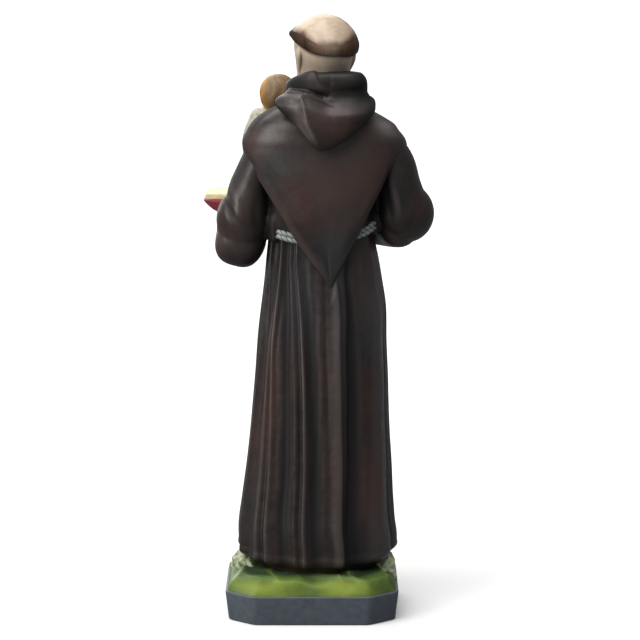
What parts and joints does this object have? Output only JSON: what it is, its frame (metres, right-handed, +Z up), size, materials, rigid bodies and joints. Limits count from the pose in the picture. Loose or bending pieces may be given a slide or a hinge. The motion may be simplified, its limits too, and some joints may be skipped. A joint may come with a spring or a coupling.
{
  "type": "painted cast friar saint statue",
  "caption": "Painted cast statue of a friar saint in a hooded habit, holding a seated child on an open book, standing on a chamfered plinth.",
  "frame": {"origin": "middle of the plinth's underside", "axes": "+Z up the figure, which faces -Y with its left hand towards +X"},
  "size_m": [0.2275, 0.1815, 0.6001],
  "materials": {
    "habit": "satin dark brown paint on cast resin",
    "skin": "satin flesh paint",
    "hair": "satin dark brown paint",
    "child_hair": "satin golden brown paint",
    "tunic": "satin off-white paint",
    "cord": "satin light grey paint",
    "book_cover": "satin deep red paint",
    "book_pages": "satin cream yellow paint",
    "ground": "satin mottled green paint",
    "plinth": "satin slate blue-grey paint"
  },
  "bodies": {
    "root": {"saint_anthony_statue": "habit"}
  },
  "joints": []
}
